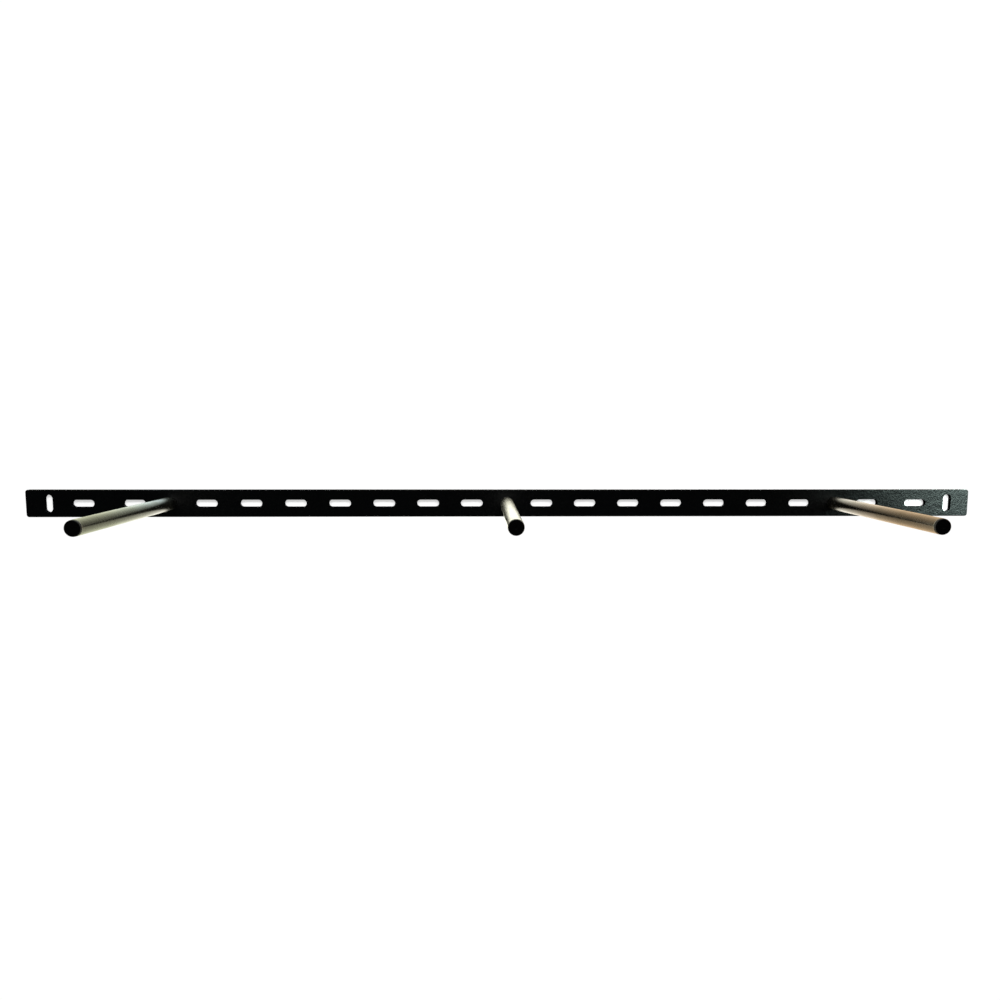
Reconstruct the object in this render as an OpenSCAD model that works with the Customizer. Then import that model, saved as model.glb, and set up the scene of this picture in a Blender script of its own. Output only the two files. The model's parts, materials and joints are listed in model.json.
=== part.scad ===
// Wall cue rack: a slotted flat bar that lies on the wall, with three round pegs that stand
// straight out of it. Each peg is a steel tube. A threaded plug in its rear end takes a
// countersunk screw from behind the bar, and a plastic cap closes its front end.
//
// Frame: the origin is the centre of the bar's back face. +X runs along the bar,
// +Y points into the wall and +Z points up. The pegs reach towards -Y.

/* [Bar] */
// Length of the bar
bar_length = 1080; // [1075:5:1400]
// Height of the bar
bar_height = 31; // [26:1:50]
// Thickness of the bar
bar_thickness = 5; // [4.5:0.5:8]
// Radius of the bar's corners, seen from the front
bar_corner = 3; // [1:0.5:8]
// Chamfer on the edges of the bar and of its slots
edge_break = 0.4; // [0.2:0.1:0.8]

/* [Slots] */
// Length of a slot that lies along the bar, end to end
slot_length = 25; // [15:1:32]
// Width of a slot that lies along the bar
slot_width = 8; // [5:0.5:12]
// Distance from one slot to the next between two pegs
slot_pitch = 50; // [42:0.5:50]
// Distance from a peg to the slots beside it
slot_to_peg = 40; // [30:1:42]
// Slots between the centre peg and an outer peg
slots_per_bay = 7; // [1:1:7]
// Distance from the end of the bar to the last slot that lies along it
last_slot_inset = 63; // [58:1:75]
// Length of the upright slot at each end, end to end
end_slot_length = 20; // [12:1:22]
// Width of the upright slot at each end
end_slot_width = 9; // [5:0.5:11]
// Distance from the end of the bar to the upright slot
end_slot_inset = 25; // [12:1:28]

/* [Pegs] */
// Distance from the centre peg to each outer peg
peg_spacing = 380; // [375:1:390]
// Reach of a peg in front of the bar, with its cap
peg_reach = 200; // [100:5:300]
// Outside diameter of the peg tube
tube_od = 15; // [15:0.5:17]
// Wall thickness of the peg tube
tube_wall = 1.5; // [1:0.1:2]

/* [Caps] */
// Diameter of the cap's flange
cap_od = 14.8; // [13.4:0.1:15]
// Thickness of the cap's flange
cap_flange = 2.5; // [2:0.1:6]
// Rounding of the flange's front edge
cap_round = 1.2; // [0.4:0.1:1.8]
// Length of the stem that grips the tube
cap_stem = 12; // [10:0.5:25]

/* [Fixings] */
// Length of the threaded plug in the tube's rear end
plug_length = 15; // [13:1:25]
// Diameter of the screw's thread
screw_od = 6; // [4:0.5:6]
// Length of the screw, with its head
screw_length = 16; // [12:1:16]
// Diameter of the screw's head
head_od = 12; // [10:0.5:12]
// Depth of the head below the bar's back face
head_recess = 0.3; // [0.1:0.1:0.5]
// Width across the flats of the screw's hexagon socket
socket_flats = 4; // [2.5:0.5:4]
// Depth of the hexagon socket
socket_depth = 2.3; // [1.5:0.1:2.5]

/* [Hidden] */
$fn = 96;

// Extra depth that carries a cutter clear of the face it cuts
over = 1;
// Gap between the screw's thread and the hole round it, on the radius
thread_gap = 0.05;
// Gap between the screw and its hole through the bar, on the radius
shank_gap = 0.3;
// Chamfer on the ends of the plug, the tube and the screw
end_chamfer = 0.5;
// Wall of the cap's hollow stem, and how far its ribs stand proud of it
stem_wall = 1.6;
rib_height = 0.6;
rib_count = 3;

tube_id = tube_od - 2 * tube_wall;
tube_length = peg_reach - cap_flange;
tube_end = bar_thickness + tube_length;
head_sink = head_od / 2 + head_recess;
plug_bore = screw_od + 2 * thread_gap;

peg_places = [-peg_spacing, 0, peg_spacing];
inner_slots = [for (i = [0:slots_per_bay - 1]) slot_to_peg + i * slot_pitch];
outer_slots = [peg_spacing + slot_to_peg, bar_length / 2 - last_slot_inset];
slot_places = [for (x = concat(inner_slots, outer_slots), side = [-1, 1]) side * x];
end_slot_places = [for (side = [-1, 1]) side * (bar_length / 2 - end_slot_inset)];

// Stands what is drawn flat on the bench, with +Y up and +Z away from the wall, on the wall.
module on_wall() {
    rotate([90, 0, 0]) children();
}

// A bar of trapezoid section that runs along X: width wide at z = 0 and grow wider on
// each side at z = height.
module tapered_strip(length, width, height, grow) {
    translate([-length / 2, 0, 0]) rotate([90, 0, 90]) linear_extrude(length)
        polygon([
            [-width / 2, 0], [width / 2, 0],
            [width / 2 + grow, height], [-width / 2 - grow, height],
        ]);
}

// A plate with round corners, from z = 0 to z = height, whose outline moves out by grow on
// the way up. With the radius at half its width it is a slot with round ends.
module round_plate(length, width, radius, height, grow = 0) {
    flat_x = length - 2 * radius;
    flat_y = width - 2 * radius;
    rows = flat_y > 0 ? [-flat_y / 2, flat_y / 2] : [0];
    for (x = [-flat_x / 2, flat_x / 2], y = rows)
        translate([x, y, 0]) cylinder(r1 = radius, r2 = radius + grow, h = height);
    tapered_strip(flat_x, width, height, grow);
    if (flat_y > 0)
        rotate([0, 0, 90]) tapered_strip(flat_y, length, height, grow);
}

// What a slot takes out of the bar: the slot itself and the chamfer at each of its mouths.
module slot_cutter(length, width) {
    translate([0, 0, -over])
        round_plate(length, width, width / 2, bar_thickness + 2 * over);
    translate([0, 0, bar_thickness - edge_break])
        round_plate(length, width, width / 2, edge_break, edge_break);
    translate([0, 0, edge_break]) mirror([0, 0, 1])
        round_plate(length, width, width / 2, edge_break, edge_break);
}

// What a peg screw takes out of the bar: its hole, and a 90 degree countersink at the back.
module screw_hole_cutter() {
    translate([0, 0, -over])
        cylinder(d = screw_od + 2 * shank_gap, h = bar_thickness + 2 * over);
    translate([0, 0, -over])
        cylinder(r1 = head_sink + over, r2 = 0, h = head_sink + over);
}

// The blank bar, with its front and back edges chamfered.
module bar_blank() {
    translate([0, 0, edge_break])
        round_plate(bar_length, bar_height, bar_corner, bar_thickness - 2 * edge_break);
    translate([0, 0, bar_thickness - edge_break])
        round_plate(bar_length, bar_height, bar_corner, edge_break, -edge_break);
    translate([0, 0, edge_break]) mirror([0, 0, 1])
        round_plate(bar_length, bar_height, bar_corner, edge_break, -edge_break);
}

module rail() {
    color("#141618") on_wall() difference() {
        bar_blank();
        for (x = slot_places)
            translate([x, 0, 0]) slot_cutter(slot_length, slot_width);
        for (x = end_slot_places)
            translate([x, 0, 0]) rotate([0, 0, 90])
                slot_cutter(end_slot_length, end_slot_width);
        for (x = peg_places)
            translate([x, 0, 0]) screw_hole_cutter();
    }
}

// A plain round tube that stands on the bar's front face, chamfered outside at its front end.
module peg_tube(x) {
    color("#b9b6a8") on_wall() translate([x, 0, bar_thickness]) difference() {
        union() {
            cylinder(d = tube_od, h = tube_length - end_chamfer);
            translate([0, 0, tube_length - end_chamfer])
                cylinder(d1 = tube_od, d2 = tube_od - 2 * end_chamfer, h = end_chamfer);
        }
        translate([0, 0, -over]) cylinder(d = tube_id, h = tube_length + 2 * over);
    }
}

// The cap's flange: a disc whose front edge is rounded.
module cap_flange_disc() {
    cylinder(d = cap_od, h = cap_flange - cap_round);
    cylinder(d = cap_od - 2 * cap_round, h = cap_flange);
    translate([0, 0, cap_flange - cap_round])
        rotate_extrude() translate([cap_od / 2 - cap_round, 0]) circle(r = cap_round);
}

// One rib of the stem: it slopes up towards the flange, so that it grips when pulled.
module cap_rib() {
    rib_length = cap_stem / (rib_count + 1);
    cylinder(d1 = tube_id - 2 * rib_height, d2 = tube_id, h = rib_length);
}

// The plastic cap: a flange that covers the tube's end, and a hollow ribbed stem inside it.
module end_cap(x) {
    stem_od = tube_id - 2 * rib_height;
    color("#0e0e0f") on_wall() translate([x, 0, tube_end]) difference() {
        union() {
            cap_flange_disc();
            translate([0, 0, -cap_stem]) cylinder(d = stem_od, h = cap_stem + over);
            for (i = [0:rib_count - 1])
                translate([0, 0, -cap_stem * (i + 1.5) / (rib_count + 1)]) cap_rib();
        }
        translate([0, 0, -cap_stem - over])
            cylinder(d = stem_od - 2 * stem_wall, h = cap_stem + over);
    }
}

// The steel plug that is pressed into the tube's rear end and takes the screw.
module threaded_insert(x) {
    color("#8d9093") on_wall() translate([x, 0, bar_thickness]) difference() {
        union() {
            cylinder(d = tube_id, h = plug_length - end_chamfer);
            translate([0, 0, plug_length - end_chamfer])
                cylinder(d1 = tube_id, d2 = tube_id - 2 * end_chamfer, h = end_chamfer);
        }
        translate([0, 0, -over]) cylinder(d = plug_bore, h = plug_length + 2 * over);
    }
}

// The countersunk screw that pulls the peg against the bar, driven from the back.
module peg_screw(x) {
    cone = (head_od - screw_od) / 2;
    color("#a2a5a8") on_wall() translate([x, 0, head_recess]) difference() {
        union() {
            cylinder(d1 = head_od, d2 = screw_od, h = cone);
            cylinder(d = screw_od, h = screw_length - end_chamfer);
            translate([0, 0, screw_length - end_chamfer])
                cylinder(d1 = screw_od, d2 = screw_od - 2 * end_chamfer, h = end_chamfer);
        }
        translate([0, 0, -over])
            cylinder(d = socket_flats / cos(30), h = socket_depth + over, $fn = 6);
    }
}

rail();
peg_tube(peg_places[0]);  // peg_tube_left
peg_tube(peg_places[1]);  // peg_tube_centre
peg_tube(peg_places[2]);  // peg_tube_right
end_cap(peg_places[0]);  // end_cap_left
end_cap(peg_places[1]);  // end_cap_centre
end_cap(peg_places[2]);  // end_cap_right
threaded_insert(peg_places[0]);  // threaded_insert_left
threaded_insert(peg_places[1]);  // threaded_insert_centre
threaded_insert(peg_places[2]);  // threaded_insert_right
peg_screw(peg_places[0]);  // peg_screw_left
peg_screw(peg_places[1]);  // peg_screw_centre
peg_screw(peg_places[2]);  // peg_screw_right
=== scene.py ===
"""Looks of a wall cue rack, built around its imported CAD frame.

The rack is a slotted flat bar that lies on a wall, with three round pegs that stand straight
out of it. A peg is a steel tube, a plastic cap in its front end, a threaded plug in its rear
end and the countersunk screw that holds it to the bar.

Every piece is made of patches: grids of points and true normals, worked out with numpy as
whole arrays and joined into one closed mesh. Lengths are in metres, in the frame of the CAD
model: +X along the bar, +Y into the wall, +Z up. Places and main sizes come from the frame.
"""

from __future__ import annotations

import json
import logging
import math
from collections.abc import Sequence
from dataclasses import dataclass, field
from enum import Enum
from functools import cache
from typing import Any

import bpy
import numpy as np
from mathutils import Euler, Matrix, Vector

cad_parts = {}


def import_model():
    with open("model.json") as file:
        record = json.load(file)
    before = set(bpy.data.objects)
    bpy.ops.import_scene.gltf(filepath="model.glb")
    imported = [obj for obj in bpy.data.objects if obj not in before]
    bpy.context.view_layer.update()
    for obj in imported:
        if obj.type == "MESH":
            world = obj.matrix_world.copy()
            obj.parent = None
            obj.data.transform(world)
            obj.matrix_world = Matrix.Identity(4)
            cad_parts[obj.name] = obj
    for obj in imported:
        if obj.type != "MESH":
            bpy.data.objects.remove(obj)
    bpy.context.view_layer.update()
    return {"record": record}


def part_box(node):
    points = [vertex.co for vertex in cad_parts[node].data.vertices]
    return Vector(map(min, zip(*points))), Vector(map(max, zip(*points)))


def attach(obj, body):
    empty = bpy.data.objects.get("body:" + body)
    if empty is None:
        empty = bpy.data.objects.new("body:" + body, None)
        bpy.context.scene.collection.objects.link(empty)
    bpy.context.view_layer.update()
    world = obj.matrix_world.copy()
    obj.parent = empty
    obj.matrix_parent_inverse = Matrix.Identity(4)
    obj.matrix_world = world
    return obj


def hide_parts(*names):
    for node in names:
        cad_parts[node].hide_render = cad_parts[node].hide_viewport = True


log = logging.getLogger("cue_rack")

Array = np.ndarray
Socket = bpy.types.NodeSocket
Colour = tuple[float, float, float, float]
Triple = tuple[float, float, float]
Pair = tuple[float, float]

MM = 0.001
TINY = 1e-9
BODY = "root"
EDGE_MARK = "edge"
TURN_STEPS = 96
ARC_STEPS = 5
QUARTERS = np.array([[1.0, 1.0], [-1.0, 1.0], [-1.0, -1.0], [1.0, -1.0]])
QUARTER = np.linspace(0.0, 1.0, 2 * ARC_STEPS + 3)
WELDS_PER_METRE = 1e6
WELD_OFFSET = 0.137
ORIGIN = (0.0, 0.0, 0.0)
WHITE = (1.0, 1.0, 1.0, 1.0)
COOL = (0.85, 0.94, 1.0)
GREENISH = (0.77, 1.0, 0.92)


class Side(Enum):
    """The three pegs, by where they stand on the bar."""

    LEFT = "left"
    CENTRE = "centre"
    RIGHT = "right"


TUBES = tuple(f"tube_{side.value}" for side in Side)

# Surfaces -----------------------------------------------------------------------------------


@dataclass(frozen=True)
class Corner:
    """A corner of a section, rounded where it has a radius.

    Attributes:
        across: distance from the axis, or outwards from the path that carries the section.
        along: the Y coordinate.
    """

    across: float
    along: float
    radius: float = 0.0


@dataclass(frozen=True)
class Run:
    """One smooth stretch of a section.

    Attributes:
        points: (n, 2) positions, across and along.
        normals: (n, 2) outward normals at the points.
        edge: (n,) edge marks, which rise from 0 to 1 and fall again round a proud corner.
    """

    points: Array
    normals: Array
    edge: Array


def ring(angles: Array) -> Array:
    """The points (cos a, sin a) for angles a, with a last axis for the pair."""
    return np.stack([np.cos(angles), np.sin(angles)], axis=-1)


def section(corners: Sequence[Corner], closed: bool = True, outward: int = 0) -> list[Run]:
    """Splits a section into straight runs and rounded corners.

    The tangent turns evenly round a corner, so with its angle t going from t0 to t1 the arc
    of radius r is start + r * (sin t - sin t0, cos t0 - cos t), and its two ends lie
    r * tan(|t1 - t0| / 2) from the corner. The normal is the tangent turned by a right angle.

    Args:
        corners: the section's corners, in order.
        closed: whether the last corner joins the first.
        outward: 1 if the outside is to the right of the way the corners run, -1 if it is to
            the left, or 0 to work it out from the area that a closed section encloses.

    Returns:
        The runs, in order round the section.
    """
    p = np.array([[c.across, c.along] for c in corners])
    r = np.array([c.radius for c in corners])
    if outward == 0:
        q = np.roll(p, -1, axis=0)
        outward = 1 if np.sum(p[:, 0] * q[:, 1] - q[:, 0] * p[:, 1]) > 0 else -1
    leave = np.roll(p, -1, axis=0) - p
    angle = np.arctan2(leave[:, 1], leave[:, 0])
    arrive = np.roll(angle, 1)
    turn = (angle - arrive + np.pi) % (2 * np.pi) - np.pi
    if not closed:
        turn[[0, -1]] = 0.0
    trim = r * np.tan(np.abs(turn) / 2)
    start = p - trim[:, None] * ring(arrive)
    end = p + trim[:, None] * ring(angle)

    def normals_at(tangent: Array) -> Array:
        """The outward normals where the tangent has these angles."""
        return outward * np.stack([np.sin(tangent), -np.cos(tangent)], axis=-1)

    runs = []
    share = np.linspace(0.0, 1.0, ARC_STEPS + 1)
    for i in range(len(p)):
        if trim[i] > 0:
            t = arrive[i] + turn[i] * share
            curve = np.stack([np.sin(t) - np.sin(t[0]), np.cos(t[0]) - np.cos(t)], axis=1)
            proud = turn[i] * outward > 0
            edge = np.sin(np.pi * share) if proud else np.zeros_like(share)
            points = start[i] + np.sign(turn[i]) * r[i] * curve
            runs.append(Run(points, normals_at(t), edge))
        after = (i + 1) % len(p)
        if closed or after:
            points = np.stack([end[i], start[after]])
            if np.linalg.norm(points[1] - points[0]) > TINY:
                runs.append(Run(points, normals_at(np.full(2, angle[i])), np.zeros(2)))
    return runs


def show(name: str, data: Any) -> bpy.types.Object:
    """Puts something into the scene as an object.

    Args:
        name: the object's name.
        data: its mesh, light or camera.

    Returns:
        The object.
    """
    made = bpy.data.objects.new(name, data)
    bpy.context.scene.collection.objects.link(made)
    return made


class Surface:
    """Patches that together make one closed piece."""

    def __init__(self, name: str) -> None:
        """Starts an empty surface.

        Args:
            name: the piece's name.
        """
        self.name = name
        self._points: list[Array] = []
        self._normals: list[Array] = []
        self._edges: list[Array] = []
        self._quads: list[Array] = []
        self._count = 0

    def add(self, points: Array, normals: Array, edge: Array | float = 0.0) -> None:
        """Adds one patch, or a stack of patches of one shape.

        Args:
            points: (..., rows, columns, 3) positions.
            normals: outward normals, in a shape that broadcasts to that of points.
            edge: edge marks, in a shape that broadcasts to (..., rows, columns).
        """
        rows, columns = points.shape[-3:-1]
        points = points.reshape(-1, rows, columns, 3)
        index = np.arange(points[..., 0].size).reshape(points.shape[:3]) + self._count
        quads = [index[:, :-1, :-1], index[:, :-1, 1:], index[:, 1:, 1:], index[:, 1:, :-1]]
        self._points.append(points.reshape(-1, 3))
        self._normals.append(np.broadcast_to(normals, points.shape).reshape(-1, 3))
        self._edges.append(np.broadcast_to(edge, points.shape[:3]).reshape(-1))
        self._quads.append(np.stack(quads, axis=-1).reshape(-1, 4))
        self._count += index.size

    def piece(self) -> bpy.types.Object:
        """Joins the patches into one mesh object at the origin.

        Points of neighbouring patches that agree to a micrometre become one vertex. A quad
        whose corners met becomes a triangle or goes, and each is turned to face the way its
        normals say. The normals and edge marks stay with the corners of the faces.

        Returns:
            The new object, linked to the scene.
        """
        lists = (self._points, self._normals, self._edges, self._quads)
        points, normals, edges, quads = (np.concatenate(parts) for parts in lists)
        p = points[quads]
        facing = np.cross(p[:, 2] - p[:, 0], p[:, 3] - p[:, 1])
        flip = np.sum(facing * normals[quads].sum(axis=1), axis=1) < 0
        quads[flip] = quads[flip][:, ::-1]

        # the odd offset keeps round sizes away from the borders between rounding steps
        key = np.round(points * WELDS_PER_METRE + WELD_OFFSET).astype(np.int64)
        _, first, same = np.unique(key, axis=0, return_index=True, return_inverse=True)
        joined = same.reshape(-1)[quads]
        keep = joined != np.roll(joined, -1, axis=1)
        whole = keep.sum(axis=1) >= 3
        joined, keep, quads = joined[whole], keep[whole], quads[whole]
        sizes = keep.sum(axis=1)

        mesh = bpy.data.meshes.new(self.name)
        mesh.vertices.add(len(first))
        mesh.vertices.foreach_set("co", points[first].astype(np.float32).ravel())
        mesh.loops.add(int(sizes.sum()))
        mesh.loops.foreach_set("vertex_index", joined[keep].astype(np.int32))
        mesh.polygons.add(len(sizes))
        mesh.polygons.foreach_set("loop_start", (np.cumsum(sizes) - sizes).astype(np.int32))
        mesh.polygons.foreach_set("use_smooth", np.ones(len(sizes), bool))
        mesh.update(calc_edges=True)
        marks = mesh.attributes.new(EDGE_MARK, "FLOAT", "CORNER")
        marks.data.foreach_set("value", edges[quads][keep].astype(np.float32))
        mesh.normals_split_custom_set(normals[quads][keep].tolist())
        return show(self.name, mesh)


@dataclass(frozen=True)
class Lathe:
    """Turns sections about an axis that runs along Y through (x, 0)."""

    x: float

    @property
    def angles(self) -> Array:
        """The angles of the columns, once round, with the first repeated at the end."""
        return np.linspace(0.0, 2 * np.pi, TURN_STEPS + 1)

    def place(self, radius: Array, y: Array, angles: Array | None = None) -> Array:
        """Puts points round the axis, at (x + radius * cos a, y, radius * sin a).

        Args:
            radius: distances from the axis.
            y: places along it, in a shape that broadcasts to that of radius.
            angles: the angles a, or none for those of the columns.

        Returns:
            The points, of the shape that the three broadcast to.
        """
        a = self.angles if angles is None else angles
        radius, y, a = np.broadcast_arrays(radius, y, a)
        return np.stack([self.x + radius * np.cos(a), y, radius * np.sin(a)], axis=-1)

    def turn(self, surface: Surface, runs: Sequence[Run]) -> None:
        """Adds each run turned round the axis: its across becomes the radius.

        Args:
            surface: the surface that gets the patches.
            runs: the runs of the section. One that lies on the axis adds nothing.
        """
        a = self.angles
        for run in runs:
            if np.all(run.points[:, 0] < TINY):
                continue
            points = self.place(run.points[:, :1], run.points[:, 1:])
            out, along = run.normals[:, :1], run.normals[:, 1:]
            normals = np.stack([out * np.cos(a), along + 0 * a, out * np.sin(a)], axis=-1)
            surface.add(points, normals, run.edge[:, None])


def round_normals(points: Array, outward: int) -> Array:
    """Normals of a patch that goes once round an axis, from its own points.

    Each is the cross product of the central differences along the rows and the columns,
    where the columns wrap round.

    Args:
        points: (rows, columns, 3), the last column the same as the first.
        outward: 1 or -1, the sign that makes the normals point out of the solid.

    Returns:
        Unit normals, of the same shape.
    """
    wrapped = np.concatenate([points[:, -2:-1], points, points[:, 1:2]], axis=1)
    around = wrapped[:, 2:] - wrapped[:, :-2]
    along = np.gradient(points, axis=0)
    normal = outward * np.cross(along, around)
    return normal / np.linalg.norm(normal, axis=-1, keepdims=True)


@dataclass(frozen=True)
class Thread:
    """A screw thread about an axis along Y.

    The height of the flank is a triangular wave of the phase y / pitch + angle / turn, cut
    flat at crest and root, so that it winds round the axis.

    Attributes:
        pitch: distance from one crest to the next.
        depth: height of the crests over the roots.
        fade: length over which the thread runs out at each end.
        cut: share of the wave that is cut off at the crests, and again at the roots.
        rows_per_pitch: rows of points to one pitch.
    """

    pitch: float = 1.0 * MM
    depth: float = 0.45 * MM
    fade: float = 1.0 * MM
    cut: float = 0.125
    rows_per_pitch: int = 8

    def relief(self, start: float, end: float, angles: Array) -> tuple[Array, Array]:
        """Depth of the groove below the crests over a stretch of the axis.

        Args:
            start: Y where the thread starts.
            end: Y where it ends.
            angles: the angles of the columns.

        Returns:
            Y of each row as (rows, 1), and the depth as (rows, columns).
        """
        rows = int(abs(end - start) / self.pitch * self.rows_per_pitch) + 1
        y = np.linspace(start, end, rows)[:, None]
        phase = (y / self.pitch + angles / (2 * np.pi)) % 1.0
        wave = np.clip(np.abs(2 * phase - 1) * (1 + 2 * self.cut) - self.cut, 0.0, 1.0)
        near_end = np.minimum(np.abs(y - start), np.abs(y - end))
        return y, self.depth * wave * np.clip(near_end / self.fade, 0.0, 1.0)


# Finishes -----------------------------------------------------------------------------------


class Sketch:
    """Adds nodes to a node tree, each wired up as it is made."""

    def __init__(self, tree: bpy.types.NodeTree) -> None:
        """Starts on a tree, which may already hold nodes."""
        self.tree = tree

    def feed(self, socket: Socket, value: Any) -> None:
        """Links an input to an output socket, or sets it to a plain value.

        Args:
            socket: the input.
            value: the output socket or the plain value.
        """
        if isinstance(value, Socket):
            self.tree.links.new(value, socket)
        else:
            socket.default_value = value

    def node(
        self, kind: str, inputs: dict[str | int, Any] | None = None, **settings: Any
    ) -> bpy.types.Node:
        """Adds one node.

        Args:
            kind: the node's type name, without "ShaderNode" in front.
            inputs: value or output socket for each input, by its name or number.
            settings: properties of the node.

        Returns:
            The node.
        """
        made = self.tree.nodes.new("ShaderNode" + kind)
        for name, value in settings.items():
            setattr(made, name, value)
        for key, value in (inputs or {}).items():
            self.feed(made.inputs[key], value)
        return made

    def math(self, operation: str, *values: Any, clamp: bool = False) -> Socket:
        """One Math node, on values or sockets."""
        inputs = dict(enumerate(values))
        return self.node("Math", inputs, operation=operation, use_clamp=clamp).outputs[0]

    def times(self, first: Any, *others: Any) -> Socket:
        """Multiplies.

        Args:
            first: a value or socket.
            *others: what it is multiplied by.

        Returns:
            The product.
        """
        for other in others:
            first = self.math("MULTIPLY", first, other)
        return first

    def remap(
        self, value: Any, start: float, end: float, low: float = 0.0, high: float = 1.0,
        way: str = "SMOOTHSTEP",
    ) -> Socket:
        """Takes start..end smoothly to low..high, and holds the ends beyond."""
        inputs = {"Value": value, "From Min": start, "From Max": end, "To Min": low, "To Max": high}
        return self.node("MapRange", inputs, interpolation_type=way).outputs["Result"]

    def blend(self, amount: Any, low: Any, high: Any) -> Socket:
        """Blends two colours.

        Args:
            amount: 0 for the first colour and 1 for the second.
            low: the first colour.
            high: the second colour.

        Returns:
            The blended colour.
        """
        made = self.node("Mix", data_type="RGBA")
        sockets = {socket.name: socket for socket in made.inputs if socket.enabled}
        for name, value in (("Factor", amount), ("A", low), ("B", high)):
            self.feed(sockets[name], value)
        return next(socket for socket in made.outputs if socket.enabled)

    def mix(self, amount: Any, low: Any, high: Any) -> Socket:
        """The shader low where amount is 0 and high where it is 1."""
        return self.node("MixShader", {0: amount, 1: low, 2: high}).outputs[0]

    def noise(self, vector: Any, scale: Any, detail: float) -> Socket:
        """Fractal noise from 0 to 1, about 0.5."""
        inputs = {"Vector": vector, "Scale": scale, "Detail": detail}
        return self.node("TexNoise", inputs).outputs[0]


class Group(Sketch):
    """A node group under construction, with a Vector input, value inputs and one output."""

    def __init__(self, name: str, output: str, **inputs: float) -> None:
        """Starts the group.

        Args:
            name: name of the group.
            output: name of its output.
            inputs: the default of each value input.
        """
        super().__init__(bpy.data.node_groups.new(name, "ShaderNodeTree"))
        sockets = self.tree.interface
        sockets.new_socket("Vector", in_out="INPUT", socket_type="NodeSocketVector")
        for port, value in inputs.items():
            made = sockets.new_socket(port, in_out="INPUT", socket_type="NodeSocketFloat")
            made.default_value = value
        sockets.new_socket(output, in_out="OUTPUT", socket_type="NodeSocketFloat")
        self.given = self.tree.nodes.new("NodeGroupInput").outputs
        self._result = self.tree.nodes.new("NodeGroupOutput").inputs[0]

    def waves(self, detail: float = 2.0, finer: float = 1.0, vector: Any = None) -> Socket:
        """Noise whose waves are Size / finer long.

        Args:
            detail: its detail.
            finer: how much finer than Size it is.
            vector: the place to take it at, or none for Vector.

        Returns:
            The noise.
        """
        scale = self.math("DIVIDE", finer, self.given["Size"])
        return self.noise(self.given["Vector"] if vector is None else vector, scale, detail)

    def close(self, value: Socket) -> bpy.types.NodeTree:
        """Gives the output its value, and returns the finished group."""
        self.feed(self._result, value)
        return self.tree


@cache
def grain() -> bpy.types.NodeTree:
    """Fine even grain: noise in waves of Size, plus Coarse times noise in longer ones.

    Returns:
        The group, built once, as are all these effects.
    """
    group = Group("grain", "Height", Size=0.001, Coarse=0.3)
    raised = group.times(group.waves(finer=0.22), group.given["Coarse"])
    return group.close(group.math("ADD", group.waves(), raised))


@cache
def streaks() -> bpy.types.NodeTree:
    """Fine scratches round an axis along Y: noise squeezed along Y by Stretch.

    Returns:
        The group.
    """
    group = Group("streaks", "Height", Size=0.001, Stretch=20.0)
    squeeze = group.node("CombineXYZ", {0: 1.0, 1: group.given["Stretch"], 2: 1.0})
    inputs = {0: group.given["Vector"], 1: squeeze.outputs[0]}
    squeezed = group.node("VectorMath", inputs, operation="MULTIPLY").outputs[0]
    return group.close(group.waves(3.0, vector=squeezed))


@cache
def patches() -> bpy.types.NodeTree:
    """Soft uneven patches, about Size across, pulled apart by Contrast.

    Returns:
        The group.
    """
    group = Group("patches", "Mask", Size=0.02, Contrast=1.0)
    pulled = group.times(group.math("SUBTRACT", group.waves(4.0), 0.5), group.given["Contrast"])
    return group.close(group.math("ADD", pulled, 0.5, clamp=True))


@cache
def edge_wear() -> bpy.types.NodeTree:
    """Where a proud edge is rubbed: the edge mark, broken up by noise, times Amount.

    Returns:
        The group.
    """
    group = Group("edge_wear", "Mask", Edge=0.0, Size=0.002, Amount=0.5)
    broken = group.times(group.given["Edge"], group.remap(group.waves(3.0), 0.42, 0.7))
    return group.close(group.math("MULTIPLY", broken, group.given["Amount"], clamp=True))


@cache
def dust() -> bpy.types.NodeTree:
    """Dust on what faces up: the upward share of the normal, mottled, times Amount.

    Returns:
        The group.
    """
    group = Group("dust", "Mask", Up=0.0, Size=0.003, Amount=0.2)
    upward = group.remap(group.given["Up"], 0.3, 1.0)
    mottled = group.times(upward, group.remap(group.waves(4.0), 0.3, 0.75))
    return group.close(group.math("MULTIPLY", mottled, group.given["Amount"], clamp=True))


def bare_material(name: str) -> bpy.types.Material:
    """Makes a material whose node tree is empty.

    Args:
        name: the material's name.

    Returns:
        The material.
    """
    material = bpy.data.materials.new(name)
    material.use_nodes = True
    material.node_tree.nodes.clear()
    return material


def shade(colour: Colour, share: float) -> Colour:
    """A colour times a share, no lighter than white."""
    return (*(min(1.0, share * part) for part in colour[:3]), 1.0)


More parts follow.
